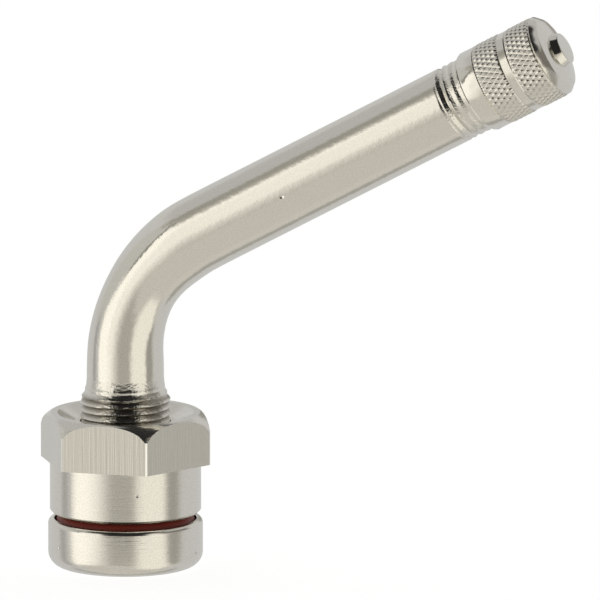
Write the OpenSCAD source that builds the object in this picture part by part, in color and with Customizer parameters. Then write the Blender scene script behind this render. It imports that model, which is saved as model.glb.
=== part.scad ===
// Bent tyre valve for a wheel rim: a one-piece stem with its clamp nut, ring seal, cap and spring-loaded core.
// The shank stands along +Z with the underside of its base at Z = 0. The stem leans towards +X.

/* [Base] */
// Diameter of the round base
base_d = 15.15; // [13:0.05:18]
// Thickness of the base under the ring groove
base_floor = 3; // [2.2:0.1:5]
// Height of the lip above the floor of the groove
lip_h = 1.74; // [1.2:0.02:2.1]
// Rounding of the lower outer edge
foot_round = 1.45; // [0.5:0.05:2]
// Rounding of the lip's outer edge
lip_round = 0.5; // [0.1:0.05:0.55]

/* [Ring seal] */
// Section of the ring seal
o_ring_section = 2.3; // [2.15:0.05:2.4]
// Play of the ring seal beside the shank and beside the lip
o_ring_play = 0.12; // [0.03:0.01:0.2]

/* [Shank and neck] */
// Diameter of the threaded shank
shank_d = 8.85; // [8.4:0.05:9.2]
// Height of the top of the shank's thread above the underside
shank_top = 16.7; // [15.5:0.1:18]
// Length of the concave run-out above the shank's thread
runout_h = 2.1; // [1:0.1:3]
// Diameter of the neck
neck_d = 7.45; // [7:0.05:7.6]
// Length over which the neck narrows into the bend
neck_taper = 2; // [0.5:0.1:2.1]

/* [Bend and stem] */
// Height at which the axes of the shank and the stem meet
elbow_h = 29.25; // [28:0.05:40]
// Radius of the bend on its axis
bend_r = 14; // [10:0.5:14.5]
// Diameter of the tube in the bend
bend_d = 7.15; // [6.8:0.05:7.4]
// Angle between the shank and the stem
bend_angle = 61.35; // [30:0.05:70]
// Diameter of the inclined stem
stem_d = 7.6; // [7.5:0.05:9]
// Length of the stem from the elbow to its mouth
stem_len = 47.5; // [42:0.5:90]
// Length over which the bend widens into the stem
widening = 4; // [2:0.5:8]
// Diameter of the air bore
air_bore_d = 3.2; // [2:0.1:3.6]

/* [Threads] */
// Pitch of the shank's thread
shank_pitch = 0.7; // [0.5:0.05:1.25]
// Depth of the shank's thread
shank_thread_h = 0.22; // [0.1:0.02:0.4]
// Pitch of the cap thread
cap_pitch = 0.794; // [0.6:0.002:1]
// Depth of the cap thread
cap_thread_h = 0.26; // [0.2:0.02:0.5]
// Length of the cap thread below the mouth
cap_thread_len = 9.6; // [9:0.1:14]

/* [Mouth] */
// Chamfer round the mouth
mouth_chamfer = 0.35; // [0.1:0.05:0.5]
// Diameter of the core thread inside the mouth
core_thread_d = 5.2; // [5:0.05:5.5]
// Depth of the core thread below the mouth
core_thread_depth = 6.2; // [6.2:0.1:8]
// Length of the conical seat below the core thread
seat_len = 2; // [1.5:0.1:2.5]
// Diameter of the chamber below the seat
chamber_d = 4; // [3.8:0.05:4.3]
// Depth of the chamber below the mouth
chamber_depth = 20; // [18.5:0.5:26]

/* [Core] */
// Depth of the pin's head below the mouth
pin_recess = 0.3; // [0.1:0.05:0.8]
// Diameter of the pin
pin_d = 0.9; // [0.7:0.05:1]
// Diameter of the pin's head
pin_head_d = 1.3; // [1.1:0.05:1.4]
// Thickness of the pin's head
pin_head_h = 0.4; // [0.2:0.05:0.6]
// Distance that the pin is pressed
pin_travel = 1.2; // [0.6:0.1:1.5]
// Depth of the plug's top below the mouth
plug_recess = 1; // [0.6:0.1:1.4]
// Length of the plug's threaded body
plug_body_h = 3.6; // [2.8:0.1:3.8]
// Height of the plug's tang
tang_h = 1.2; // [0.8:0.1:1.2]
// Thickness of the tang across its flats
tang_w = 2.6; // [2.4:0.1:3]
// Radial air gap round the pin in the plug
plug_air_gap = 0.4; // [0.3:0.05:0.5]
// Outer diameter of the barrel
barrel_d = 3.2; // [3:0.05:3.3]
// Bore of the barrel
barrel_bore_d = 2; // [1.9:0.05:2.2]
// Length of the barrel
barrel_len = 8.8; // [8:0.1:10]
// Diameter of the hole in the barrel's inner end
barrel_hole_d = 1.3; // [1.2:0.02:1.36]
// Thickness of the barrel's inner end
barrel_end_h = 0.4; // [0.3:0.05:0.8]
// Outer diameter of the cup
cup_d = 3.4; // [3.2:0.05:3.5]
// Thickness of the cup's wall and base
cup_wall = 0.25; // [0.15:0.05:0.35]
// Height of the cup's seal
cup_seal_h = 1.1; // [0.8:0.05:1.3]
// Height of the cup's seal that stands proud of the cup
cup_seal_proud = 0.35; // [0.2:0.05:0.5]
// Wire of the core's spring
spring_wire = 0.24; // [0.18:0.01:0.26]
// Turns of the core's spring
spring_turns = 10; // [6:1:14]

/* [Cap] */
// Thickness of the cap's wall at its plain collar
cap_wall = 0.28; // [0.2:0.02:0.6]
// Height of the knurled bands above the collar
knurl_rise = 0.06; // [0.04:0.01:0.2]
// Distance that the cap reaches past the mouth
cap_past_mouth = 2.1; // [1.9:0.05:2.6]
// Length of the cap from its rim to the edge of its end
cap_len = 8.9; // [8:0.1:10]
// Chamfer of the cap's rim
rim_chamfer = 0.3; // [0.1:0.05:0.4]
// Length of the plain collar
collar_len = 1.9; // [1.2:0.1:2.4]
// Length of each knurled band
knurl_len = 2.75; // [2:0.05:2.8]
// Length of the plain groove between the bands
knurl_gap = 0.9; // [0.5:0.05:1]
// Inset of the domed end from the knurled band
end_inset = 0.27; // [0.1:0.01:0.7]
// Rise of the domed end
dome_h = 0.6; // [0.3:0.05:1]
// Diameter of the boss on the end
boss_d = 3.3; // [2.5:0.05:4.2]
// Height of the boss above the dome
boss_h = 0.75; // [0.3:0.05:1]
// Rounding of the boss
boss_round = 0.15; // [0.1:0.05:0.3]
// Thickness of the seal in the cap
cap_seal_h = 0.85; // [0.6:0.05:0.95]

/* [Clamp nut] */
// Width of the hexagon across its flats
hex_af = 15; // [14:0.1:17]
// Height of the hexagon
hex_h = 4.83; // [4:0.01:6]
// Diameter of the flat ring on top, where the rounded crown begins
crown_top_d = 14.64; // [13.6:0.02:16]
// Radius of the crown's rounding
crown_r = 2.56; // [2:0.02:4]
// Depth to which the crown cuts the hexagon's corners
corner_drop = 1.78; // [0.8:0.02:2.4]
// Diameter of the skirt
skirt_d = 14.8; // [13.5:0.1:14.9]
// Height of the skirt
skirt_h = 5.04; // [3:0.1:5.5]
// Chamfer of the skirt's lower edge
skirt_chamfer = 0.3; // [0.1:0.05:0.5]
// Diameter of the countersink in the nut's top
countersink_d = 13.3; // [11:0.1:13.5]
// Depth of the countersink
countersink_h = 0.9; // [0.3:0.05:1.5]
// Diameter of the countersink's floor at the bore
countersink_floor_d = 10; // [9.6:0.1:11]

/* [Clearances] */
// Radial clearance between a screwed piece and its mate
thread_play = 0.05; // [0.02:0.01:0.08]
// Gap between faces that seal or seat against each other
seat_gap = 0.02; // [0.01:0.005:0.04]
// Radial clearance of pieces that slide in the core
slide_play = 0.06; // [0.03:0.01:0.08]

/* [Hidden] */
$fn = 96;
nickel = [0.78, 0.76, 0.71];
brass = [0.8, 0.66, 0.36];
red_rubber = [0.42, 0.07, 0.05];
black_rubber = [0.08, 0.08, 0.08];
white_plastic = [0.9, 0.9, 0.88];
spring_steel = [0.62, 0.63, 0.65];
over = 1;

// Base and ring seal
base_h = base_floor + lip_h;
o_ring_r = shank_d / 2 + o_ring_play + o_ring_section / 2;
groove_r = shank_d / 2 + 2 * o_ring_play + o_ring_section;
o_ring_z = base_floor + seat_gap + o_ring_section / 2;

// Stem
neck_top = elbow_h - bend_r * tan(bend_angle / 2);
leg_start = bend_r * tan(bend_angle / 2);
lap_step = 0.03;
lap_angle = acos(1 - lap_step / (2 * bend_r));
runout_drop = (shank_d - neck_d) / 2;
runout_r = (runout_h * runout_h + runout_drop * runout_drop) / (2 * runout_drop);

// Nut, seated on the ring seal
nut_z = o_ring_z + o_ring_section / 2 + 2 * seat_gap;
nut_bore_d = shank_d + 2 * thread_play;
hex_d = hex_af / cos(30);
nut_h = skirt_h + hex_h;

// Centre of the arc that rounds the crown, through the edge of the flat ring and the cut corner
crown_width = (hex_d - crown_top_d) / 2;
crown_chord = sqrt(pow(crown_width, 2) + pow(corner_drop, 2));
crown_inset = sqrt(pow(crown_r, 2) - pow(crown_chord / 2, 2));
crown_x = (hex_d + crown_top_d) / 4 - crown_inset * corner_drop / crown_chord;
crown_z = nut_h - corner_drop / 2 - crown_inset * crown_width / crown_chord;

// Core, as distances along the stem's axis from the elbow
plug_top = stem_len - plug_recess;
plug_body_top = plug_top - tang_h;
plug_bottom = plug_body_top - plug_body_h;
plug_d = core_thread_d - 2 * thread_play;
plug_hole_d = pin_d + 2 * plug_air_gap;
seat_top = stem_len - core_thread_depth;
seat_bottom = seat_top - seat_len;
barrel_top = plug_bottom - seat_gap;
barrel_bottom = barrel_top - barrel_len;
cup_seal_top = barrel_bottom - seat_gap;
cup_seal_bottom = cup_seal_top - cup_seal_h;
cup_rim = cup_seal_top - cup_seal_proud;
cup_bottom = cup_seal_bottom - seat_gap - cup_wall;
pin_top = stem_len - pin_recess;
pin_collar_d = barrel_bore_d - 2 * slide_play;
pin_collar_h = 0.5;
pin_collar_top = barrel_top - pin_travel / 2;
spring_top = pin_collar_top - pin_collar_h - seat_gap;
spring_bottom = barrel_bottom + barrel_end_h + seat_gap;
spring_d = (pin_d + barrel_bore_d) / 2;

// Cap, as distances along the stem's axis from the elbow
cap_end = stem_len + cap_past_mouth;
cap_rim = cap_end - cap_len;
cap_bore_d = stem_d + 2 * thread_play;
cap_d = cap_bore_d + 2 * cap_wall;
knurl_d = cap_d + 2 * knurl_rise;
cap_end_d = knurl_d - 2 * end_inset;
cap_seal_bottom = stem_len + seat_gap;
cap_bore_end = cap_seal_bottom + cap_seal_h + seat_gap;
band_1 = cap_rim + collar_len;
band_2 = band_1 + knurl_len + knurl_gap;
shoulder = band_2 + knurl_len;
dome_r = (pow(cap_end_d / 2, 2) + pow(dome_h, 2)) / (2 * dome_h);
boss_root = cap_end + dome_h - dome_r + sqrt(pow(dome_r, 2) - pow(boss_d / 2, 2));
boss_top = boss_root + boss_h;

// Places its children on the stem's axis, with +Z towards the mouth and the elbow at the origin
module on_stem_axis() {
    translate([0, 0, elbow_h])
        rotate([0, bend_angle, 0])
            children();
}

// Round bar of diameter d along the bend, lapping a little into the straight lengths at both ends
module bend(d) {
    translate([bend_r, 0, neck_top])
        rotate([90, 0, 0])
            rotate([0, 0, 180 - bend_angle - lap_angle])
                rotate_extrude(angle = bend_angle + 2 * lap_angle)
                    translate([bend_r, 0])
                        circle(d = d);
}

// Half section between two heights, from the axis to radius r
module half_bar(r, low, high) {
    translate([0, low])
        square([r, high - low]);
}

// Half section of the base, with rounded outer edges and the open ring groove
module base_section() {
    r = base_d / 2;
    difference() {
        union() {
            half_bar(r - foot_round, 0, base_h - lip_round);
            half_bar(r, foot_round, base_h - lip_round);
            half_bar(r - lip_round, foot_round, base_h);
            intersection() {
                translate([r - foot_round, foot_round])
                    circle(r = foot_round);
                square([r, base_h]);
            }
            intersection() {
                translate([r - lip_round, base_h - lip_round])
                    circle(r = lip_round);
                square([r, base_h]);
            }
        }
        half_bar(groove_r, base_floor, base_h + over);
    }
}

// Outline of ring-shaped grooves between two heights, cut to a depth into radius r at about a pitch
function ring_grooves(r, depth, pitch, low, high) =
    let (
        turns = round((high - low) / pitch),
        step = (high - low) / turns
    )
    [
        for (k = [0 : turns - 1])
            each [[r, low + k * step], [r - depth, low + (k + 0.5) * step]],
        [r, high]
    ];

// Half section of the shank with the grooves of its thread, its concave run-out and the neck
module shank_section() {
    polygon(concat(
        [[0, base_floor / 2], [shank_d / 2, base_floor / 2]],
        ring_grooves(shank_d / 2, shank_thread_h, shank_pitch, nut_z, shank_top),
        [[0, shank_top]]
    ));
    difference() {
        half_bar(shank_d / 2, shank_top, shank_top + runout_h);
        translate([neck_d / 2 + runout_r, shank_top + runout_h])
            circle(r = runout_r);
    }
    polygon([
        [0, base_h],
        [neck_d / 2, base_h],
        [neck_d / 2, neck_top - neck_taper],
        [bend_d / 2 + lap_step, neck_top],
        [0, neck_top]
    ]);
}

// Half section of the inclined stem, from the end of the bend past the cap thread to its chamfered mouth
module leg_section() {
    r = stem_d / 2;
    polygon(concat(
        [
            [0, leg_start],
            [bend_d / 2 + lap_step, leg_start],
            [r, leg_start + widening]
        ],
        ring_grooves(r, cap_thread_h, cap_pitch, stem_len - cap_thread_len, stem_len - mouth_chamfer),
        [
            [r - mouth_chamfer, stem_len],
            [0, stem_len]
        ]
    ));
}

// Half section of the bore in the inclined stem, with the chamber, its seat and the core thread
module chamber_section() {
    chamber_bottom = stem_len - chamber_depth;
    polygon([
        [0, leg_start],
        [air_bore_d / 2, leg_start],
        [air_bore_d / 2, chamber_bottom],
        [chamber_d / 2, chamber_bottom + (chamber_d - air_bore_d) / 2],
        [chamber_d / 2, seat_bottom],
        [core_thread_d / 2, seat_top],
        [core_thread_d / 2, stem_len + over],
        [0, stem_len + over]
    ]);
}

// Base, shank, neck, bend and stem in one piece, bored from the base to the mouth
module valve_stem() {
    color(nickel)
        difference() {
            union() {
                rotate_extrude() {
                    base_section();
                    shank_section();
                }
                bend(bend_d);
                on_stem_axis()
                    rotate_extrude()
                        leg_section();
            }
            translate([0, 0, -over])
                cylinder(d = air_bore_d, h = neck_top + over);
            bend(air_bore_d - 2 * lap_step);
            on_stem_axis()
                rotate_extrude()
                    chamber_section();
        }
}

// Ring seal in the groove of the base
module base_o_ring() {
    color(red_rubber)
        translate([0, 0, o_ring_z])
            rotate_extrude()
                translate([o_ring_r, 0])
                    circle(d = o_ring_section);
}

// Half section of the nut's outer turned form: chamfered skirt, bar stock and rounded crown
module nut_turned_section() {
    bar_r = hex_d / 2 + over;
    polygon([
        [0, 0],
        [skirt_d / 2 - skirt_chamfer, 0],
        [skirt_d / 2, skirt_chamfer],
        [skirt_d / 2, skirt_h],
        [bar_r, skirt_h],
        [bar_r, crown_z],
        [crown_x, crown_z],
        [crown_x, nut_h],
        [0, nut_h]
    ]);
    intersection() {
        translate([crown_x, crown_z])
            circle(r = crown_r);
        half_bar(bar_r, crown_z, nut_h);
    }
}

// Nut with its hexagon above and its round skirt below, countersunk in its top
module clamp_nut() {
    color(nickel)
        translate([0, 0, nut_z])
            difference() {
                intersection() {
                    rotate_extrude()
                        nut_turned_section();
                    union() {
                        cylinder(d = skirt_d + over, h = skirt_h);
                        translate([0, 0, skirt_h])
                            cylinder(d = hex_d, h = hex_h, $fn = 6);
                    }
                }
                translate([0, 0, -over])
                    cylinder(d = nut_bore_d, h = nut_h + 2 * over);
                translate([0, 0, nut_h - countersink_h])
                    cylinder(d1 = countersink_floor_d, d2 = countersink_d, h = countersink_h);
            }
}

// Half section of the cap's outside: collar, two raised bands, rounded edge, domed end and boss
module cap_outer_section() {
    half_bar(cap_d / 2, cap_rim + rim_chamfer, shoulder);
    polygon([
        [0, cap_rim],
        [cap_d / 2 - rim_chamfer, cap_rim],
        [cap_d / 2, cap_rim + rim_chamfer],
        [0, cap_rim + rim_chamfer]
    ]);
    half_bar(knurl_d / 2, band_1, band_1 + knurl_len);
    half_bar(knurl_d / 2, band_2, shoulder);
    polygon([
        [0, shoulder],
        [knurl_d / 2, shoulder],
        [cap_end_d / 2, cap_end],
        [0, cap_end]
    ]);
    intersection() {
        translate([0, cap_end + dome_h - dome_r])
            circle(r = dome_r, $fn = 4 * $fn);
        half_bar(cap_end_d, cap_end, cap_end + dome_h);
    }
    half_bar(boss_d / 2, cap_end, boss_top - boss_round);
    half_bar(boss_d / 2 - boss_round, cap_end, boss_top);
    translate([boss_d / 2 - boss_round, boss_top - boss_round])
        circle(r = boss_round);
}

// Cap with its blind bore
module valve_cap() {
    color(nickel)
        on_stem_axis()
            difference() {
                rotate_extrude()
                    cap_outer_section();
                translate([0, 0, cap_rim - over])
                    cylinder(d = cap_bore_d, h = cap_bore_end - cap_rim + over);
            }
}

// Rubber disc between the cap and the mouth
module cap_seal() {
    color(black_rubber)
        on_stem_axis()
            translate([0, 0, cap_seal_bottom])
                cylinder(d = cap_bore_d - 2 * slide_play, h = cap_seal_h);
}

// Screwed head of the core, with a flat tang across its top and a hole round the pin
module core_plug() {
    color(brass)
        on_stem_axis()
            difference() {
                union() {
                    translate([0, 0, plug_bottom])
                        cylinder(d = plug_d, h = plug_body_h);
                    intersection() {
                        translate([0, 0, plug_bottom])
                            cylinder(d = plug_d, h = plug_body_h + tang_h);
                        translate([-core_thread_d / 2, -tang_w / 2, plug_bottom + plug_body_h / 2])
                            cube([core_thread_d, tang_w, plug_body_h / 2 + tang_h]);
                    }
                }
                translate([0, 0, plug_bottom - over])
                    cylinder(d = plug_hole_d, h = plug_body_h + tang_h + 2 * over);
            }
}

// Tube of the core, closed at its inner end down to a small hole
module core_barrel() {
    color(brass)
        on_stem_axis()
            difference() {
                translate([0, 0, barrel_bottom])
                    cylinder(d = barrel_d, h = barrel_len);
                translate([0, 0, barrel_bottom - over])
                    cylinder(d = barrel_hole_d, h = barrel_len);
                translate([0, 0, barrel_bottom + barrel_end_h])
                    cylinder(d = barrel_bore_d, h = barrel_len);
            }
}

// Conical ring that seals the barrel on the chamber's seat
module barrel_gasket() {
    slope = (core_thread_d - chamber_d) / 2 / seat_len;
    gap = seat_gap * sqrt(1 + slope * slope);
    bottom_r = chamber_d / 2 - gap;
    top_r = core_thread_d / 2 - gap;
    color(white_plastic)
        on_stem_axis()
            difference() {
                translate([0, 0, seat_bottom])
                    cylinder(r1 = bottom_r, r2 = top_r, h = seat_len);
                translate([0, 0, seat_bottom - over])
                    cylinder(d = barrel_d + 2 * seat_gap, h = seat_len + 2 * over);
            }
}

// Pin with its head and the collar that the spring lifts
module core_pin() {
    color(brass)
        on_stem_axis() {
            translate([0, 0, cup_bottom])
                cylinder(d = pin_d, h = pin_top - cup_bottom);
            translate([0, 0, pin_top - pin_head_h])
                cylinder(d = pin_head_d, h = pin_head_h);
            translate([0, 0, pin_collar_top - pin_collar_h])
                cylinder(d = pin_collar_d, h = pin_collar_h);
        }
}

// Metal cup on the inner end of the pin
module core_cup() {
    color(brass)
        on_stem_axis()
            difference() {
                translate([0, 0, cup_bottom])
                    cylinder(d = cup_d, h = cup_rim - cup_bottom);
                translate([0, 0, cup_bottom + cup_wall])
                    cylinder(d = cup_d - 2 * cup_wall, h = cup_rim - cup_bottom);
                translate([0, 0, cup_bottom - over])
                    cylinder(d = pin_d + 2 * seat_gap, h = cup_wall + 2 * over);
            }
}

// Rubber ring in the cup that closes on the barrel
module cup_seal() {
    color(black_rubber)
        on_stem_axis()
            difference() {
                translate([0, 0, cup_seal_bottom])
                    cylinder(d = cup_d - 2 * cup_wall - 2 * seat_gap, h = cup_seal_h);
                translate([0, 0, cup_seal_bottom - over])
                    cylinder(d = pin_d + 2 * seat_gap, h = cup_seal_h + 2 * over);
            }
}

// Points of one ring of the spring's wire, at turn t of the coil
function wire_ring(t, rise, sides) = [
    for (i = [0 : sides - 1])
        let (
            around = 360 * i / sides,
            r = spring_d / 2 + spring_wire / 2 * cos(around),
            z = spring_wire / 2 + rise * t + spring_wire / 2 * sin(around)
        )
        [r * cos(360 * t), r * sin(360 * t), z]
];

// Faces between the rings of a swept wire, closed at both ends
function wire_faces(rings, sides) = concat(
    [[for (i = [0 : sides - 1]) i]],
    [
        for (ring = [0 : rings - 2], i = [0 : sides - 1])
            let (a = ring * sides + i, b = ring * sides + (i + 1) % sides)
            [a, a + sides, b + sides, b]
    ],
    [[for (i = [sides - 1 : -1 : 0]) (rings - 1) * sides + i]]
);

// Coil spring between the barrel's inner end and the pin's collar
module core_spring() {
    sides = 6;
    steps = 14;
    rings = spring_turns * steps + 1;
    rise = (spring_top - spring_bottom - spring_wire) / spring_turns;
    points = [for (k = [0 : rings - 1]) each wire_ring(k / steps, rise, sides)];
    color(spring_steel)
        on_stem_axis()
            translate([0, 0, spring_bottom])
                polyhedron(points = points, faces = wire_faces(rings, sides));
}

valve_stem();
base_o_ring();
clamp_nut();
valve_cap();
cap_seal();
core_plug();
core_barrel();
barrel_gasket();
core_pin();
core_cup();
cup_seal();
core_spring();
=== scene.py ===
import math

import bpy
import numpy as np
from mathutils import Matrix, Vector


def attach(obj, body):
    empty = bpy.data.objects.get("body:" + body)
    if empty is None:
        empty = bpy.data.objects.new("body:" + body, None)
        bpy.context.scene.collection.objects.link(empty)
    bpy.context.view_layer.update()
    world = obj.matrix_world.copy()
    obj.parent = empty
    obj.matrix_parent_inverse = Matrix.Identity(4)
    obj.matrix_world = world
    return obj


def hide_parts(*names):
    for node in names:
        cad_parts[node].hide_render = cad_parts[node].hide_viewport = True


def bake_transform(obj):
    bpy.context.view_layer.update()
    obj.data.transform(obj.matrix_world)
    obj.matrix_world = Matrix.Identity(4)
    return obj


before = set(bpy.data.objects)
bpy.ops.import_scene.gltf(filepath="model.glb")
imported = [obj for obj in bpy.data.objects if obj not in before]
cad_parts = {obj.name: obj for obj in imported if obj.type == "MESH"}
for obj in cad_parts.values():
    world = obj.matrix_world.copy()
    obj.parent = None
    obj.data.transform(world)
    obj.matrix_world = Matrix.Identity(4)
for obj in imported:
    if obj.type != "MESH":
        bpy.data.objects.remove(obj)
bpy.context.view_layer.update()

MM = 0.001
FULL_TURN = 2 * math.pi
AROUND = 144
SHARP_ANGLE = 38

# Base and its ring groove
BASE_R = 7.575
BASE_H = 4.74
FOOT_ROUND = 1.45
LIP_ROUND = 0.5
GROOVE_R = 6.965
GROOVE_Z = 3.0
GROOVE_BEVEL = 0.05

# Ring seal
RING_R = 5.695
RING_Z = 4.17
RING_SECTION_R = 1.15
RING_SIDES = 32

# Shank, neck, bend and inclined stem
SHANK_R = 4.425
SHANK_TOP = 16.7
RUNOUT_TOP = 18.8
RUNOUT_ARC = 3.74
NECK_R = 3.78
ELBOW_Z = 29.25
BEND_R = 14.0
BEND_ANGLE = math.radians(61.35)
STEM_R = 3.8
STEM_LEN = 47.5
NECK_TOP = ELBOW_Z - BEND_R * math.tan(BEND_ANGLE / 2)
LEG_START = BEND_R * math.tan(BEND_ANGLE / 2)
ARC_LEN = BEND_R * BEND_ANGLE

# Rows of the tube, and the gaps between its last and first rows
NECK_ROWS = 6
BEND_ROWS = 49
STRAIGHT_ROWS = 14
GAP_BEFORE_BEND = 0.3
GAP_AFTER_BEND = 1.0
GAP_BEFORE_THREAD = 0.1

# Tube in the bend, with its stations along the centreline
BEND_TUBE_R = 3.5
THINNEST = 27.5
WIDE_AGAIN = 35.0
BEND_SAG = 0.1
SAG_START = 28.0
SAG_MIDDLE = 33.0
SAG_END = 38.0

# Thread of the shank, with the share of its depth at several heights
SHANK_PITCH = 0.7
SHANK_THREAD_DEPTH = 0.22
SHANK_THREAD_PHASE = 0.37
SHANK_ROOT = 0.68
SHANK_ROW_STEP = 0.07
SHANK_FADE_HEIGHTS = (GROOVE_Z, 4.0, 16.6, 17.1, 17.7, 18.3)
SHANK_FADE = (0, 1, 1, 0.7, 0.35, 0)

# Thread for the cap, with the share of its depth at several distances from the elbow
CAP_PITCH = 0.79375
CAP_THREAD_DEPTH = 0.09
CAP_THREAD_PHASE = 0.55
CAP_ROOT = 0.5
CAP_ROW_STEP = 0.079
CAP_THREAD_START = 37.9
CAP_FADE_DISTANCES = (CAP_THREAD_START, 38.3, 38.9, 39.3)
CAP_FADE = (0, 2.8, 2.8, 1)
MOUTH_CHAMFER = 0.35
MOUTH_GAP = 0.02

# Bore of the stem
AIR_R = 1.6
CHAMBER_R = 2.0
CHAMBER_END = 27.5
CHAMBER_STEP = 0.4
SEAT_END = 39.3
SEAT_TOP = 41.3
CORE_THREAD_R = 2.6
CORE_CHAMFER = 0.15
BORE_ROWS = 25

# Clamp nut
NUT_Z = 5.36
NUT_BORE_R = 4.475
SKIRT_R = 7.4
SKIRT_TOP = 10.4
SKIRT_CHAMFER = 0.3
HEX_SIDES = 6
HEX_FLAT_R = 7.5
NUT_TOP = 15.23
CROWN_TOP_R = 7.32
CROWN_ARC = 2.56
CROWN_X = 6.148
CROWN_Z = 12.954
CROWN_ROWS = 10
COUNTERSINK_R = 6.65
COUNTERSINK_FLOOR_R = 5.0
COUNTERSINK_H = 0.9
PER_FLAT = 16
CORNER_CUT = 0.68
NUT_SHARP_ANGLE = 15

# Cap, as distances along the stem's axis from the elbow
CAP_RIM = 40.7
CAP_R = 4.13
CAP_BORE_R = 3.85
CAP_BORE_END = 48.39
RIM_LEAD = 0.1
RIM_LEAD_H = 0.2
RIM_CHAMFER = 0.3
RIM_ROUND = 0.09
RIM_ROUND_H = 0.1
CAP_END = 49.6
CAP_END_R = 3.92
DOME_H = 0.6
DOME_EDGE = 0.4
DOME_ROWS = 8
BOSS_ROOT_R = 1.8
BOSS_R = 1.58
BOSS_TOP = 50.84
BOSS_ROUND = 0.14
BOSS_ROUND_START = 70

# Knurled bands of the cap and the shoulder above them
KNURL_R = 4.19
KNURL_DEPTH = 0.13
KNURL_STARTS = 46
KNURL_PITCH = 1.0
KNURL_FLAT = 0.25
KNURL_LEN = 2.75
BAND_1 = 42.6
BAND_2 = 46.25
BAND_ROWS = 23
BAND_BEVEL = 0.14
BAND_BEVEL_H = 0.2
BAND_GAP_R = 4.12
BAND_GAP_EDGE = 0.08
COLLAR_EDGE = 0.05
SHOULDER_R = 4.14
SHOULDER_RISES = (0.03, 0.09, 0.12, 0.14, 0.66, 0.68)
SHOULDER_DROPS = (0.14, 0.02, 0.02, 0.04, 0.5, 0.56)
CAP_AROUND = 8 * KNURL_STARTS

# Spring of the core, as distances along the stem's axis from the elbow
SPRING_BOTTOM = 33.3
SPRING_TOP = 40.56
SPRING_R = 0.725
SPRING_TURNS = 10
STEPS_PER_TURN = 24
WIRE_R = 0.12
WIRE_SIDES = 10

# Order of the finishes on the stem, the nut and the cap
BASE, SHANK, TUBE, MOUTH, BORE = range(5)
TURNED, BRUSHED, EDGE = range(3)
PLAIN, KNURLED = range(2)

# Plating, with its pits as centres and radii
NICKEL = (0.82, 0.795, 0.735)
# Painted highlight: a brighter nickel for the narrow edges of the nut
GLINT_NICKEL = (0.98, 0.965, 0.92)
# Painted shade: a dark colour laid into the grooves of the shank's thread, fading out over a height above
# the thread
GROOVE_SHADE = (0.3, 0.275, 0.23)
GROOVE_SHADE_FADE = 0.7
PIT_DEPTH = 5
BASE_PITS = [
    ((-5.118, -5.585, 2.41), 0.25),
    ((7.505, -1.03, 1.744), 0.25),
    ((3.144, -6.7, 8.25), 0.2),
]
TUBE_PITS = [((16.995, -3.788, 38.19), 0.3)]

# Camera and its directions, in metres
CAMERA_AZIMUTH = math.radians(16)
CAMERA_ELEVATION = math.radians(10.7)
CAMERA_DISTANCE = 2.7
CAMERA_REACH = 20
FRAME_WIDTH = 0.05854
SENSOR = 36
RIGHT = Vector((math.cos(CAMERA_AZIMUTH), math.sin(CAMERA_AZIMUTH), 0))
FRONT = Vector((math.sin(CAMERA_AZIMUTH), -math.cos(CAMERA_AZIMUTH), 0))
UP = Vector((0, 0, math.cos(CAMERA_ELEVATION))) - FRONT * math.sin(CAMERA_ELEVATION)
TOWARD = FRONT * math.cos(CAMERA_ELEVATION) + Vector((0, 0, math.sin(CAMERA_ELEVATION)))
TARGET = RIGHT * 0.017078 + UP * 0.0259 + TOWARD * 0.01

# Floor, in metres, and its own glow
FLOOR_SIZE = 4
FLOOR_GLOW = 0.88

# Names and places of shader parts
SHADER = "Principled BSDF"
FIRST_COLOUR = 6
SECOND_COLOUR = 7
MIXED_COLOUR = 2

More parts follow.
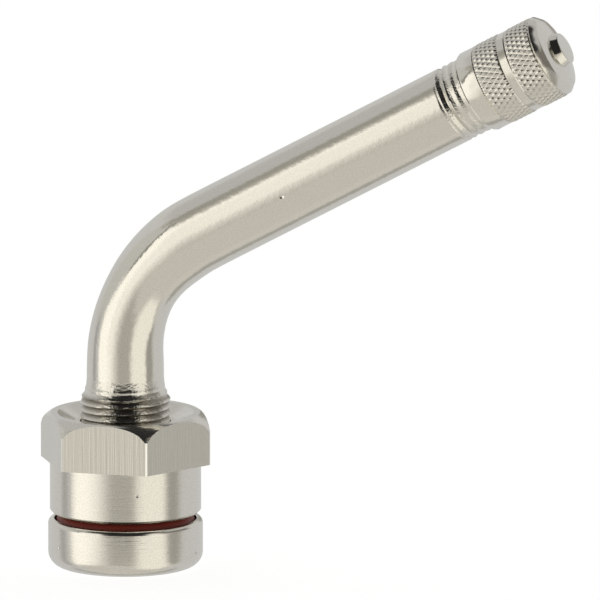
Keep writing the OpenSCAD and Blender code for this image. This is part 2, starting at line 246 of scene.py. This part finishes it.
# Soft studio panels in the order of painting, each span with a pair of values at its begin and at its end
SURROUND = (0.46, 0.445, 0.4)
PANELS = {
    "bottom": {"colour": (0.63, 0.61, 0.56), "up": (None, (-0.58, -0.42))},
    "backdrop": {"colour": (0.62, 0.62, 0.615), "front": (None, (-0.15, 0.02))},
    "left_gap": {
        "colour": (0.42, 0.42, 0.41),
        "across": (None, (-0.85, -0.7)),
        "up": (None, (0.1, 0.3)),
        "front": ((-0.48, -0.36), (-0.26, -0.12)),
    },
    "top": {"colour": (0.53, 0.53, 0.52), "up": ((0.6, 0.68), None)},
    "key": {
        "colour": (1.2, 1.165, 1.08),
        "across": (None, (-0.92, -0.25)),
        "up": ((-0.6, -0.42), (0.38, 0.53)),
        "front": ((-0.12, 0.1), None),
    },
    "heart": {
        "colour": (1.03, 1.0, 0.92),
        "across": (None, (-0.66, -0.5)),
        "up": ((-0.28, -0.1), (0.3, 0.42)),
        "front": ((0.45, 0.6), None),
    },
    "line": {
        "colour": (0.36, 0.35, 0.315),
        "across": (None, (-0.2, 0)),
        "up": ((0.52, 0.585), (0.63, 0.7)),
        "front": ((0, 0.1), None),
    },
    "bend_strip": {
        "colour": (0.58, 0.575, 0.55),
        "across": (None, (-0.85, -0.75)),
        "up": ((0.05, 0.15), (0.5, 0.57)),
        "front": (None, (0.2, 0.27)),
    },
    "bend_line": {
        "colour": (0.24, 0.235, 0.21),
        "across": (None, (-0.85, -0.75)),
        "up": ((0.05, 0.15), (0.5, 0.57)),
        "front": ((0.2, 0.24), (0.29, 0.33)),
    },
    "under_glow": {
        "colour": (0.66, 0.64, 0.59),
        "up": (None, (-0.85, -0.75)),
        "front": ((-0.42, -0.32), (-0.1, 0.05)),
    },
    "under_line": {
        "colour": (0.42, 0.415, 0.39),
        "up": (None, (-0.72, -0.6)),
        "front": ((-0.6, -0.53), (-0.4, -0.28)),
    },
    "fill": {
        "colour": (0.98, 0.95, 0.86),
        "across": ((0.12, 0.42), (0.84, 0.93)),
        "up": ((-0.92, -0.75), (0.35, 0.5)),
        "front": ((0.05, 0.2), None),
    },
    "strip": {
        "colour": (0.38, 0.37, 0.34),
        "across": ((0.86, 0.93), None),
        "up": (None, (0.2, 0.4)),
        "front": ((0, 0.08), (0.3, 0.4)),
    },
    "dusk": {
        "colour": (0.33, 0.32, 0.29),
        "across": ((-0.05, 0.08), (0.3, 0.42)),
        "up": ((0.12, 0.2), (0.42, 0.5)),
        "front": (None, (-0.85, -0.75)),
    },
    "right_shade": {
        "colour": (0.2, 0.19, 0.17),
        "across": ((0.45, 0.65), None),
        "up": ((0.1, 0.25), (0.55, 0.7)),
        "front": ((-0.4, -0.2), (0.5, 0.65)),
    },
    "high_shade": {
        "colour": (0.03, 0.03, 0.03),
        "across": ((-0.74, -0.62), (0.62, 0.8)),
        "up": ((0.55, 0.66), None),
        "front": ((0.2, 0.32), None),
    },
    "shade": {
        "colour": (0.02, 0.02, 0.02),
        "across": ((-0.6, -0.48), (0.42, 0.62)),
        "up": ((-0.22, -0.1), None),
        "front": ((-0.05, 0.15), None),
    },
    "ceiling_gap": {
        "colour": (0.03, 0.03, 0.03),
        "across": ((-0.15, 0.05), (0.35, 0.5)),
        "up": ((0.7, 0.8), None),
        "front": ((-0.45, -0.25), None),
    },
}


def leg(distance):
    """Station on the stem's centreline at a distance from the elbow."""
    return NECK_TOP + ARC_LEN + distance - LEG_START


def centreline(station):
    """Centre and lean of the stem at a station, measured along its centreline from the underside."""
    if station <= NECK_TOP:
        return (0, station), 0
    if station <= NECK_TOP + ARC_LEN:
        lean = (station - NECK_TOP) / BEND_R
        return (BEND_R * (1 - math.cos(lean)), NECK_TOP + BEND_R * math.sin(lean)), lean
    distance = LEG_START + station - NECK_TOP - ARC_LEN
    centre = (distance * math.sin(BEND_ANGLE), ELBOW_Z + distance * math.cos(BEND_ANGLE))
    return centre, BEND_ANGLE


def ring_points(station, radii):
    """Points of one ring round the stem's centreline, in metres."""
    (x, z), lean = centreline(station)
    turn = FULL_TURN * np.arange(len(radii)) / len(radii)
    out = radii * np.cos(turn)
    points = [x + out * math.cos(lean), radii * np.sin(turn), z - out * math.sin(lean)]
    return np.stack(points, axis=1) * MM


def section_rings(sections, columns):
    """Rings of sections along the stem's centreline, and the finish of each ring."""
    rings = []
    kinds = []
    for section, kind in sections:
        for station, radius in section:
            rings.append(ring_points(station, np.broadcast_to(radius, columns)))
            kinds.append(kind)
    return rings, kinds


def upright_points(radii, heights, turn):
    """Points of one ring round the shank's axis, in metres."""
    return np.stack([radii * np.cos(turn), radii * np.sin(turn), heights], axis=1) * MM


def arc(centre, radius, start, end, steps):
    """Points along an arc of a section, from one angle to another in degrees."""
    angles = np.radians(np.linspace(start, end, steps + 1))
    return [(centre[0] + radius * math.cos(a), centre[1] + radius * math.sin(a)) for a in angles]


def smooth_share(value, start, end):
    """Share from 0 to 1 that a value has gone from a start to an end, without a kink."""
    share = np.clip((value - start) / (end - start), 0, 1)
    return share * share * (3 - 2 * share)


def lattice_faces(rows, columns, closed):
    """Quads between neighbouring rings, with the last ring joined to the first where closed."""
    faces = []
    for row in range(rows if closed else rows - 1):
        low = row * columns
        high = (row + 1) % rows * columns
        for column in range(columns):
            after = (column + 1) % columns
            faces.append((low + column, low + after, high + after, high + column))
    return faces


def show(name, rings, closed, materials, kinds, node, poles=(), sharp=SHARP_ANGLE):
    """A smooth piece made of rings, which stands for a node, with edges that are sharp from an angle."""
    columns = len(rings[0])
    points = [tuple(p) for ring in rings for p in ring]
    faces = lattice_faces(len(rings), columns, closed)
    kinds = [int(kind) for row in kinds for kind in np.broadcast_to(row, columns)]
    for pole, row, kind in poles:
        first = row * columns
        for column in range(columns):
            after = (column + 1) % columns
            pair = (first + column, first + after)
            faces.append((len(points), *pair) if row else (len(points), pair[1], pair[0]))
            kinds.append(kind)
        points.append(tuple(pole))
    mesh = bpy.data.meshes.new(name)
    mesh.from_pydata(points, [], faces)
    for material in materials:
        mesh.materials.append(material)
    mesh.polygons.foreach_set("material_index", kinds)
    mesh.polygons.foreach_set("use_smooth", [True] * len(faces))
    mesh.set_sharp_from_angle(angle=math.radians(sharp))
    piece = bpy.data.objects.new(name, mesh)
    bpy.context.scene.collection.objects.link(piece)
    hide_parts(node)
    return piece


def groove_depth(station, pitch, phase, root):
    """Share of a right-handed thread's depth at each column, with its root at a share of the pitch."""
    turn = np.arange(AROUND) / AROUND
    place = (station / pitch - turn + phase) % 1
    return np.minimum(place / root, (1 - place) / (1 - root))


def runout_radius(height):
    """Radius of the shank at a height, with the concave run-out into the neck."""
    if height <= SHANK_TOP:
        return SHANK_R
    return NECK_R + RUNOUT_ARC - math.sqrt(RUNOUT_ARC**2 - (RUNOUT_TOP - height) ** 2)


def base_section():
    """Section of the base, from the air hole round its edge to the floor of the ring groove."""
    foot = arc((FOOT_ROUND, BASE_R - FOOT_ROUND), FOOT_ROUND, 180, 90, steps=10)
    lip = arc((BASE_H - LIP_ROUND, BASE_R - LIP_ROUND), LIP_ROUND, 90, 0, steps=8)
    groove_edge = [(BASE_H, GROOVE_R + GROOVE_BEVEL), (BASE_H - GROOVE_BEVEL, GROOVE_R)]
    return [(0, AIR_R), *foot, (BASE_H / 2, BASE_R), *lip, *groove_edge, (GROOVE_Z, GROOVE_R)]


def shank_section():
    """Section of the threaded shank up to the neck."""
    section = []
    for height in np.arange(GROOVE_Z, RUNOUT_TOP, SHANK_ROW_STEP):
        depth = SHANK_THREAD_DEPTH * np.interp(height, SHANK_FADE_HEIGHTS, SHANK_FADE)
        groove = depth * groove_depth(height, SHANK_PITCH, SHANK_THREAD_PHASE, SHANK_ROOT)
        section.append((height, runout_radius(height) - groove))
    return section


def tube_radii(station):
    """Radii of one ring of the tube, which is thinnest in the bend and sags a little towards its inside."""
    narrowed = (NECK_R - BEND_TUBE_R) * smooth_share(station, RUNOUT_TOP, THINNEST)
    widened = (STEM_R - BEND_TUBE_R) * smooth_share(station, THINNEST, WIDE_AGAIN)
    sag = smooth_share(station, SAG_START, SAG_MIDDLE) - smooth_share(station, SAG_MIDDLE, SAG_END)
    turn = FULL_TURN * np.arange(AROUND) / AROUND
    return NECK_R - narrowed + widened + BEND_SAG * sag * np.cos(turn)


def tube_section():
    """Section of the neck, the bend and the plain part of the inclined stem."""
    neck = np.linspace(RUNOUT_TOP, NECK_TOP - GAP_BEFORE_BEND, NECK_ROWS)
    bend = np.linspace(NECK_TOP, NECK_TOP + ARC_LEN, BEND_ROWS)
    straight_start = leg(LEG_START + GAP_AFTER_BEND)
    straight_end = leg(CAP_THREAD_START - GAP_BEFORE_THREAD)
    straight = np.linspace(straight_start, straight_end, STRAIGHT_ROWS)
    return [(station, tube_radii(station)) for station in [*neck, *bend, *straight]]


def cap_thread_section():
    """Section of the thread for the cap, up to the chamfered mouth."""
    section = []
    for distance in np.arange(CAP_THREAD_START, STEM_LEN - MOUTH_GAP, CAP_ROW_STEP):
        depth = np.interp(distance, CAP_FADE_DISTANCES, CAP_FADE) * CAP_THREAD_DEPTH
        crest = min(STEM_R, STEM_R - MOUTH_CHAMFER + STEM_LEN - distance)
        groove = depth * groove_depth(distance, CAP_PITCH, CAP_THREAD_PHASE, CAP_ROOT)
        section.append((leg(distance), np.minimum(crest, STEM_R - groove)))
    return section


def bore_section():
    """Section of the bore, from the mouth through the core's chamber and down the air hole."""
    chamber = [
        (STEM_LEN, STEM_R - MOUTH_CHAMFER),
        (STEM_LEN, CORE_THREAD_R + CORE_CHAMFER),
        (STEM_LEN - CORE_CHAMFER, CORE_THREAD_R),
        (SEAT_TOP, CORE_THREAD_R),
        (SEAT_END, CHAMBER_R),
        (CHAMBER_END + CHAMBER_STEP, CHAMBER_R),
        (CHAMBER_END, AIR_R),
    ]
    air_hole = np.linspace(NECK_TOP + ARC_LEN, NECK_TOP, BORE_ROWS)
    section = [(leg(distance), radius) for distance, radius in chamber]
    return section + [(station, AIR_R) for station in air_hole]


def make_stem(finishes):
    """Stem with its base, threads, bend and bore, in one piece."""
    sections = [
        (base_section(), BASE),
        (shank_section(), SHANK),
        (tube_section(), TUBE),
        (cap_thread_section(), MOUTH),
        (bore_section(), BORE),
    ]
    rings, kinds = section_rings(sections, AROUND)
    stem = show("stem_metal", rings, True, finishes, kinds, "valve_stem")
    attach(stem, "stem")


def make_ring_seal(rubber):
    """Round rubber ring in the groove of the base."""
    rings = []
    turn = np.linspace(0, FULL_TURN, AROUND, endpoint=False)
    for angle in np.linspace(0, FULL_TURN, RING_SIDES, endpoint=False):
        radius = RING_R + RING_SECTION_R * math.sin(angle)
        height = RING_Z - RING_SECTION_R * math.cos(angle)
        rings.append(upright_points(np.full(AROUND, radius), np.full(AROUND, height), turn))
    ring = show("ring_rubber", rings, True, [rubber], [0] * len(rings), "base_o_ring")
    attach(ring, "stem")


def nut_rows(turn):
    """Rows of the nut from its bore round the outside and back: radii, heights and finish."""
    columns = len(turn)
    flat_turn = FULL_TURN / HEX_SIDES
    hex_r = HEX_FLAT_R / np.cos(turn % flat_turn - flat_turn / 2)
    # The last column of each flat is an edge strip that gets the painted highlight
    side_kinds = np.where(np.arange(columns) % PER_FLAT == PER_FLAT - 1, EDGE, BRUSHED)
    edge_angle = np.arccos((hex_r - CROWN_X) / CROWN_ARC)
    top_angle = math.acos((CROWN_TOP_R - CROWN_X) / CROWN_ARC)
    level = np.ones(columns)
    countersink_floor = NUT_TOP - COUNTERSINK_H
    rows = [
        (NUT_BORE_R * level, NUT_Z * level, TURNED),
        ((SKIRT_R - SKIRT_CHAMFER) * level, NUT_Z * level, TURNED),
        (SKIRT_R * level, (NUT_Z + SKIRT_CHAMFER) * level, TURNED),
        (SKIRT_R * level, SKIRT_TOP * level, TURNED),
        (hex_r, SKIRT_TOP * level, side_kinds),
    ]
    for share in np.linspace(0, 1, CROWN_ROWS):
        angle = edge_angle + (top_angle - edge_angle) * share
        rows.append((CROWN_X + CROWN_ARC * np.cos(angle), CROWN_Z + CROWN_ARC * np.sin(angle), TURNED))
    rows += [
        (COUNTERSINK_R * level, NUT_TOP * level, TURNED),
        (COUNTERSINK_FLOOR_R * level, countersink_floor * level, TURNED),
        (NUT_BORE_R * level, countersink_floor * level, TURNED),
    ]
    return rows


def make_nut(finishes):
    """Nut with a round skirt below and a hexagon above, whose narrow edges carry a painted highlight."""
    flat_angle = 360 / HEX_SIDES
    one_flat = np.linspace(CORNER_CUT, flat_angle - CORNER_CUT, PER_FLAT)
    turn = np.radians([flat_angle * flat + angle for flat in range(HEX_SIDES) for angle in one_flat])
    rows = nut_rows(turn)
    rings = [upright_points(radii, heights, turn) for radii, heights, _ in rows]
    kinds = [kind for _, _, kind in rows]
    nut = show("nut_metal", rings, True, finishes, kinds, "clamp_nut", sharp=NUT_SHARP_ANGLE)
    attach(nut, "nut")


def knurl_loss(distance):
    """Share of the knurl's depth that is cut away at each column, in a diamond pattern."""
    turn = KNURL_STARTS * np.arange(CAP_AROUND) / CAP_AROUND
    rise = distance / KNURL_PITCH
    one_way = np.abs(2 * ((turn + rise) % 1) - 1)
    other_way = np.abs(2 * ((turn - rise) % 1) - 1)
    return np.clip(np.maximum(one_way, other_way) * (1 + KNURL_FLAT) - KNURL_FLAT, 0, 1)


def band_section(start):
    """Section of one knurled band, bevelled at both ends."""
    section = []
    for distance in np.linspace(start, start + KNURL_LEN, BAND_ROWS):
        inset = min(distance - start, start + KNURL_LEN - distance)
        bevel = np.interp(inset, [0, BAND_BEVEL_H], [BAND_BEVEL, 0])
        section.append((distance, KNURL_R - np.maximum(bevel, KNURL_DEPTH * knurl_loss(distance))))
    return section


def rim_section():
    """Section of the cap's inside, its rim and its plain collar."""
    return [
        (CAP_BORE_END, CAP_BORE_R),
        (CAP_RIM + RIM_LEAD_H, CAP_BORE_R),
        (CAP_RIM, CAP_BORE_R + RIM_LEAD),
        (CAP_RIM, CAP_R - RIM_CHAMFER),
        (CAP_RIM + RIM_ROUND_H, CAP_R - RIM_ROUND),
        (CAP_RIM + RIM_CHAMFER, CAP_R),
        (BAND_1 - COLLAR_EDGE, CAP_R),
    ]


def end_section():
    """Section of the cap's shoulder, its domed end and the boss on it."""
    shoulder_start = BAND_2 + KNURL_LEN
    steps = zip(SHOULDER_RISES, SHOULDER_DROPS)
    shoulder = [(shoulder_start + rise, SHOULDER_R - drop) for rise, drop in steps]
    dome_r = (CAP_END_R**2 + DOME_H**2) / (2 * DOME_H)
    dome_centre = CAP_END + DOME_H - dome_r
    dome_radii = np.linspace(CAP_END_R - DOME_EDGE, BOSS_ROOT_R, DOME_ROWS)
    dome = [(dome_centre + math.sqrt(dome_r**2 - r * r), r) for r in dome_radii]
    boss_centre = (BOSS_TOP - BOSS_ROUND, BOSS_R - BOSS_ROUND)
    return shoulder + dome + arc(boss_centre, BOSS_ROUND, BOSS_ROUND_START, 0, steps=5)


def make_cap(finishes):
    """Cap with two knurled bands and a round boss on its end."""
    gap_start = BAND_1 + KNURL_LEN + BAND_GAP_EDGE
    gap = [(gap_start, BAND_GAP_R), (BAND_2 - BAND_GAP_EDGE, BAND_GAP_R)]
    sections = [
        (rim_section(), PLAIN),
        (band_section(BAND_1), KNURLED),
        (gap, PLAIN),
        (band_section(BAND_2), KNURLED),
        (end_section(), PLAIN),
    ]
    on_stem = [([(leg(d), radius) for d, radius in section], kind) for section, kind in sections]
    rings, kinds = section_rings(on_stem, CAP_AROUND)
    inner_pole = ring_points(leg(CAP_BORE_END), np.zeros(1))[0]
    outer_pole = ring_points(leg(BOSS_TOP), np.zeros(1))[0]
    poles = [(inner_pole, 0, PLAIN), (outer_pole, len(rings) - 1, PLAIN)]
    cap = show("cap_metal", rings, False, finishes, kinds[:-1], "valve_cap", poles)
    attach(cap, "cap")


def stem_axis_points(out, side, distances):
    """Points beside the stem's axis, at distances from the elbow, in metres."""
    lean_x = math.sin(BEND_ANGLE)
    lean_z = math.cos(BEND_ANGLE)
    points = [distances * lean_x + out * lean_z, side, ELBOW_Z + distances * lean_z - out * lean_x]
    return np.stack(points, axis=-1) * MM


def make_spring(steel):
    """Coil spring between the barrel's inner end and the pin's collar, shortened by the pin."""
    section = FULL_TURN * np.arange(WIRE_SIDES) / WIRE_SIDES
    radii = SPRING_R + WIRE_R * np.cos(section)
    first = SPRING_BOTTOM + WIRE_R
    last = SPRING_TOP - WIRE_R
    rings = []
    for share in np.linspace(0, 1, SPRING_TURNS * STEPS_PER_TURN + 1):
        angle = FULL_TURN * SPRING_TURNS * share
        distances = first + (last - first) * share - WIRE_R * np.sin(section)
        rings.append(stem_axis_points(radii * math.cos(angle), radii * math.sin(angle), distances))
    poles = [(rings[0].mean(axis=0), 0, 0), (rings[-1].mean(axis=0), len(rings) - 1, 0)]
    kinds = [0] * (len(rings) - 1)
    spring = show("spring_wire", rings, False, [steel], kinds, "core_spring", poles)
    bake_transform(spring)


def ramp(tree, value, start, end):
    """Smooth step from 0 to 1 between two values."""
    step = tree.nodes.new("ShaderNodeMapRange")
    step.interpolation_type = "SMOOTHSTEP"
    step.inputs["From Min"].default_value = start
    step.inputs["From Max"].default_value = end
    tree.links.new(value, step.inputs["Value"])
    return step.outputs["Result"]


def product(tree, values):
    """Product of several values."""
    total = values[0]
    for value in values[1:]:
        times = tree.nodes.new("ShaderNodeMath")
        times.operation = "MULTIPLY"
        tree.links.new(total, times.inputs[0])
        tree.links.new(value, times.inputs[1])
        total = times.outputs["Value"]
    return total


def mixed(tree, share, first, second):
    """Mix of two colours by a share, where the first is a plain colour or comes from another mix."""
    mix = tree.nodes.new("ShaderNodeMix")
    mix.data_type = "RGBA"
    tree.links.new(share, mix.inputs["Factor"])
    if isinstance(first, tuple):
        mix.inputs[FIRST_COLOUR].default_value = (*first, 1)
    else:
        tree.links.new(first, mix.inputs[FIRST_COLOUR])
    mix.inputs[SECOND_COLOUR].default_value = (*second, 1)
    return mix.outputs[MIXED_COLOUR]


def new_material(name, colour, metallic, roughness):
    """A plain material."""
    material = bpy.data.materials.new(name)
    material.use_nodes = True
    shader = material.node_tree.nodes[SHADER]
    shader.inputs["Base Color"].default_value = (*colour, 1)
    shader.inputs["Metallic"].default_value = metallic
    shader.inputs["Roughness"].default_value = roughness
    return material


def add_bump(tree, height, distance):
    """Raises the surface by a height, up to a distance in millimetres."""
    bump = tree.nodes.new("ShaderNodeBump")
    bump.inputs["Distance"].default_value = distance * MM
    tree.links.new(height, bump.inputs["Height"])
    tree.links.new(bump.outputs["Normal"], tree.nodes[SHADER].inputs["Normal"])


def stretched_noise(tree, stretch, detail):
    """Noise in the piece's own space, with a scale per millimetre along each axis."""
    place = tree.nodes.new("ShaderNodeTexCoord")
    scale = tree.nodes.new("ShaderNodeMapping")
    scale.inputs["Scale"].default_value = [s / MM for s in stretch]
    noise = tree.nodes.new("ShaderNodeTexNoise")
    noise.inputs["Scale"].default_value = 1
    noise.inputs["Detail"].default_value = detail
    tree.links.new(place.outputs["Object"], scale.inputs["Vector"])
    tree.links.new(scale.outputs["Vector"], noise.inputs["Vector"])
    return noise.outputs["Fac"]


def add_grain(tree, amount):
    """Fine bright and dark grain in the plating's colour."""
    noise = stretched_noise(tree, stretch=(8, 8, 8), detail=2)
    share = ramp(tree, noise, start=0.3, end=0.7)
    dark = tuple(c * (1 - amount) for c in NICKEL)
    bright = tuple(c * (1 + amount) for c in NICKEL)
    tree.links.new(mixed(tree, share, dark, bright), tree.nodes[SHADER].inputs["Base Color"])


def add_cutting_flaws(tree):
    """Small flaws from the cutting of a thread."""
    add_bump(tree, stretched_noise(tree, stretch=(2.5, 2.5, 5), detail=3), distance=0.06)


def pitted(tree, height, pits):
    """Height lowered by round pits, each with its centre and its radius."""
    place = tree.nodes.new("ShaderNodeTexCoord")
    for centre, radius in pits:
        distance = tree.nodes.new("ShaderNodeVectorMath")
        distance.operation = "DISTANCE"
        distance.inputs[1].default_value = [c * MM for c in centre]
        tree.links.new(place.outputs["Object"], distance.inputs[0])
        lower = tree.nodes.new("ShaderNodeMath")
        lower.operation = "MULTIPLY_ADD"
        lower.inputs[1].default_value = -PIT_DEPTH
        tree.links.new(ramp(tree, distance.outputs["Value"], radius * MM, 0), lower.inputs[0])
        tree.links.new(height, lower.inputs[2])
        height = lower.outputs["Value"]
    return height


def painted_groove_shade(tree):
    """Mask of the painted shade in the grooves of the shank's thread, by the distance from its axis and the
    height.
    """
    place = tree.nodes.new("ShaderNodeTexCoord")
    across = tree.nodes.new("ShaderNodeVectorMath")
    across.operation = "MULTIPLY"
    across.inputs[1].default_value = (1, 1, 0)
    radius = tree.nodes.new("ShaderNodeVectorMath")
    radius.operation = "LENGTH"
    height = tree.nodes.new("ShaderNodeSeparateXYZ")
    tree.links.new(place.outputs["Object"], across.inputs[0])
    tree.links.new(across.outputs["Vector"], radius.inputs[0])
    tree.links.new(place.outputs["Object"], height.inputs["Vector"])
    groove = ramp(tree, radius.outputs["Value"], SHANK_R * MM, (SHANK_R - SHANK_THREAD_DEPTH) * MM)
    threaded = ramp(tree, height.outputs["Z"], (SHANK_TOP + GROOVE_SHADE_FADE) * MM, SHANK_TOP * MM)
    return product(tree, [groove, threaded])


def turned_nickel():
    """Nickel with fine turning lines round the shank's axis."""
    material = new_material("nickel_turned", NICKEL, metallic=1, roughness=0.16)
    tree = material.node_tree
    lines = stretched_noise(tree, stretch=(0.35, 0.35, 7), detail=5)
    add_bump(tree, pitted(tree, lines, BASE_PITS), distance=0.017)
    add_grain(tree, amount=0.06)
    return material


def brushed_nickel():
    """Nickel brushed along the shank's axis."""
    material = new_material("nickel_brushed", NICKEL, metallic=1, roughness=0.28)
    tree = material.node_tree
    add_bump(tree, stretched_noise(tree, stretch=(7, 7, 0.15), detail=3), distance=0.02)
    add_grain(tree, amount=0.04)
    return material


def tube_nickel():
    """Smooth nickel with a faint waviness."""
    material = new_material("nickel_tube", NICKEL, metallic=1, roughness=0.11)
    tree = material.node_tree
    waves = stretched_noise(tree, stretch=(1.6, 1.6, 1.6), detail=2)
    add_bump(tree, pitted(tree, waves, TUBE_PITS), distance=0.016)
    add_grain(tree, amount=0.045)
    return material


def thread_nickel():
    """Nickel of the thread for the cap, with small flaws."""
    material = new_material("nickel_thread", NICKEL, metallic=1, roughness=0.15)
    add_cutting_flaws(material.node_tree)
    return material


def shank_nickel():
    """Nickel of the shank's thread, with small flaws and with painted shade darkening its grooves."""
    material = new_material("nickel_shank", NICKEL, metallic=1, roughness=0.15)
    tree = material.node_tree
    add_cutting_flaws(tree)
    # Painted shade: the grooves darken towards a dark brownish grey
    shaded_colour = mixed(tree, painted_groove_shade(tree), NICKEL, GROOVE_SHADE)
    tree.links.new(shaded_colour, tree.nodes[SHADER].inputs["Base Color"])
    return material


def edge_nickel():
    """Nickel of the nut's edges, painted brighter as a highlight and a little smoother."""
    return new_material("nickel_edge", GLINT_NICKEL, metallic=1, roughness=0.12)


def knurl_nickel():
    """Nickel of the knurled bands, duller than the rest of the cap."""
    return new_material("nickel_knurl", NICKEL, metallic=1, roughness=0.26)


def bare_brass():
    """Brass of the bore and the core."""
    return new_material("core_brass", (0.78, 0.6, 0.3), metallic=1, roughness=0.3)


def red_rubber():
    """Dark red rubber of the ring seal."""
    return new_material("red_rubber", (0.24, 0.03, 0.018), metallic=0, roughness=0.5)


def black_rubber():
    """Black rubber of the small seals."""
    return new_material("black_rubber", (0.02, 0.02, 0.02), metallic=0, roughness=0.6)


def white_plastic():
    """White plastic of the barrel's gasket."""
    return new_material("white_plastic", (0.8, 0.8, 0.78), metallic=0, roughness=0.4)


def spring_steel():
    """Steel of the core's spring."""
    return new_material("spring_steel", (0.6, 0.6, 0.62), metallic=1, roughness=0.3)


def pale_ground():
    """Dull grey of the floor, with a glow that lifts it almost to white."""
    material = new_material("pale_floor", (0.4, 0.4, 0.4), metallic=0, roughness=1)
    shader = material.node_tree.nodes[SHADER]
    shader.inputs["Specular IOR Level"].default_value = 0
    shader.inputs["Emission Color"].default_value = (1, 1, 1, 1)
    shader.inputs["Emission Strength"].default_value = FLOOR_GLOW
    return material


def dress_nodes(finishes):
    """Gives each inner node its finish."""
    for node, material in finishes.items():
        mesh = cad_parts[node].data
        mesh.materials.clear()
        mesh.materials.append(material)


def along(tree, direction, axis):
    """Share of a ray's direction along an axis."""
    dot = tree.nodes.new("ShaderNodeVectorMath")
    dot.operation = "DOT_PRODUCT"
    dot.inputs[1].default_value = axis
    tree.links.new(direction, dot.inputs[0])
    return dot.outputs["Value"]


def panel_mask(tree, values, panel):
    """Mask of a panel from the soft edges of its spans."""
    steps = []
    for side, value in values.items():
        begin, end = panel.get(side, (None, None))
        if begin:
            steps.append(ramp(tree, value, *begin))
        if end:
            steps.append(ramp(tree, value, end[1], end[0]))
    return product(tree, steps)


def make_world():
    """Studio of soft panels that light the object, behind a white background."""
    world = bpy.data.worlds.new("studio")
    world.use_nodes = True
    bpy.context.scene.world = world
    tree = world.node_tree
    direction = tree.nodes.new("ShaderNodeTexCoord").outputs["Generated"]
    axes = {"across": RIGHT, "up": UP, "front": TOWARD}
    values = {side: along(tree, direction, axis) for side, axis in axes.items()}
    colour = SURROUND
    for panel in PANELS.values():
        colour = mixed(tree, panel_mask(tree, values, panel), colour, panel["colour"])
    studio = tree.nodes["Background"]
    tree.links.new(colour, studio.inputs["Color"])
    white = tree.nodes.new("ShaderNodeBackground")
    white.inputs["Color"].default_value = (1, 1, 1, 1)
    path = tree.nodes.new("ShaderNodeLightPath")
    choice = tree.nodes.new("ShaderNodeMixShader")
    tree.links.new(path.outputs["Is Camera Ray"], choice.inputs["Fac"])
    tree.links.new(studio.outputs["Background"], choice.inputs[1])
    tree.links.new(white.outputs["Background"], choice.inputs[2])
    tree.links.new(choice.outputs["Shader"], tree.nodes["World Output"].inputs["Surface"])


def make_floor():
    """Pale floor that keeps a faint shadow round the base."""
    bpy.ops.mesh.primitive_plane_add(size=FLOOR_SIZE)
    floor = bpy.context.object
    floor.name = "floor"
    floor.data.materials.append(pale_ground())
    floor.visible_glossy = False


def make_camera():
    """Camera far in front of the object, a little above it and to its right."""
    data = bpy.data.cameras.new("camera")
    data.sensor_width = SENSOR
    data.lens = SENSOR * CAMERA_DISTANCE / FRAME_WIDTH
    data.clip_end = CAMERA_REACH
    camera = bpy.data.objects.new("camera", data)
    axes = Matrix((RIGHT, UP, TOWARD)).transposed()
    camera.matrix_world = Matrix.Translation(TARGET + TOWARD * CAMERA_DISTANCE) @ axes.to_4x4()
    bpy.context.scene.collection.objects.link(camera)
    bpy.context.scene.camera = camera


turned = turned_nickel()
tube = tube_nickel()
brass = bare_brass()
rubber = black_rubber()
make_stem([turned, shank_nickel(), tube, thread_nickel(), brass])
make_ring_seal(red_rubber())
make_nut([turned, brushed_nickel(), edge_nickel()])
make_cap([tube, knurl_nickel()])
make_spring(spring_steel())
dress_nodes({
    "cap_seal": rubber,
    "core_plug": brass,
    "core_barrel": brass,
    "barrel_gasket": white_plastic(),
    "core_pin": brass,
    "core_cup": brass,
    "cup_seal": rubber,
})
make_world()
make_floor()
make_camera()
bpy.context.scene.view_settings.view_transform = "Standard"
